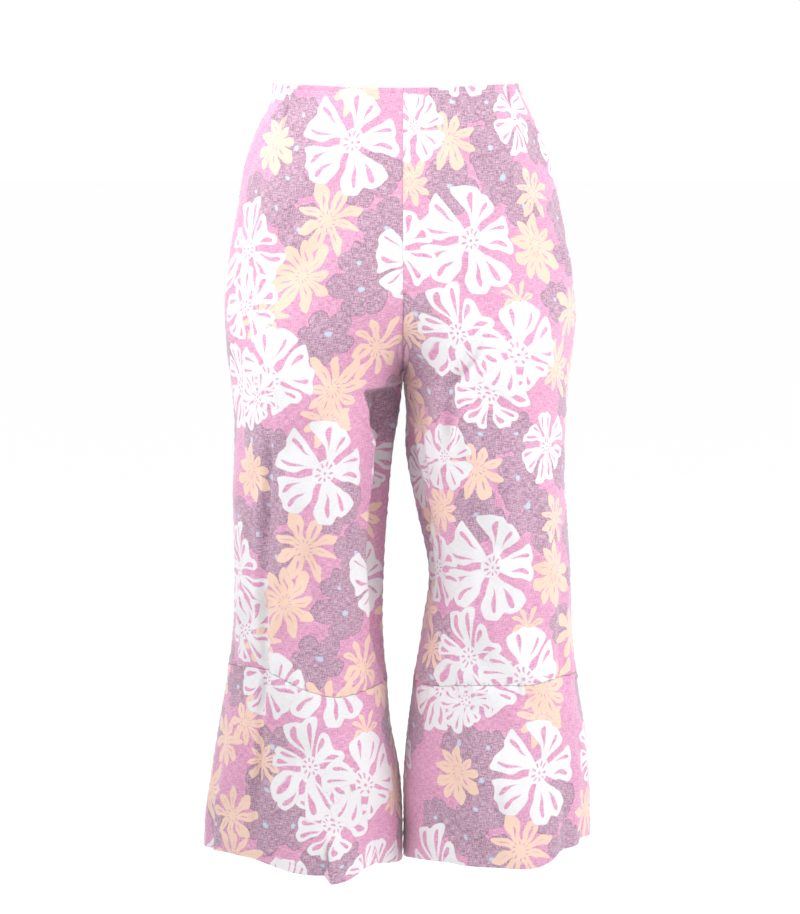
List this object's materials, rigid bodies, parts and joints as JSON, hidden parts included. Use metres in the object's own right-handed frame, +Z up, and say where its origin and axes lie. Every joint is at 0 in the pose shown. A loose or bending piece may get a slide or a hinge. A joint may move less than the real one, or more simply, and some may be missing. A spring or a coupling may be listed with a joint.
{
  "type": "capri pants",
  "caption": "Hollow capri pants as worn, with darted front and back panels and flared lower panels sewn on below the knee.",
  "frame": {"origin": "middle of the waist edge, level with its sides", "axes": "+Z up, from hem to waist; +Y towards the back; +X to the right as seen from the front"},
  "size_m": [0.397, 0.2328, 0.7923],
  "materials": {
    "printed_cotton": "pink slub cotton printed with white, peach and mauve flowers",
    "thread": "matt sewing thread"
  },
  "bodies": {
    "root": {"front_left": "printed_cotton", "front_right": "printed_cotton", "back_left": "printed_cotton", "back_right": "printed_cotton", "lower_front_left": "printed_cotton", "lower_front_right": "printed_cotton", "lower_back_left": "printed_cotton", "lower_back_right": "printed_cotton"}
  },
  "joints": []
}
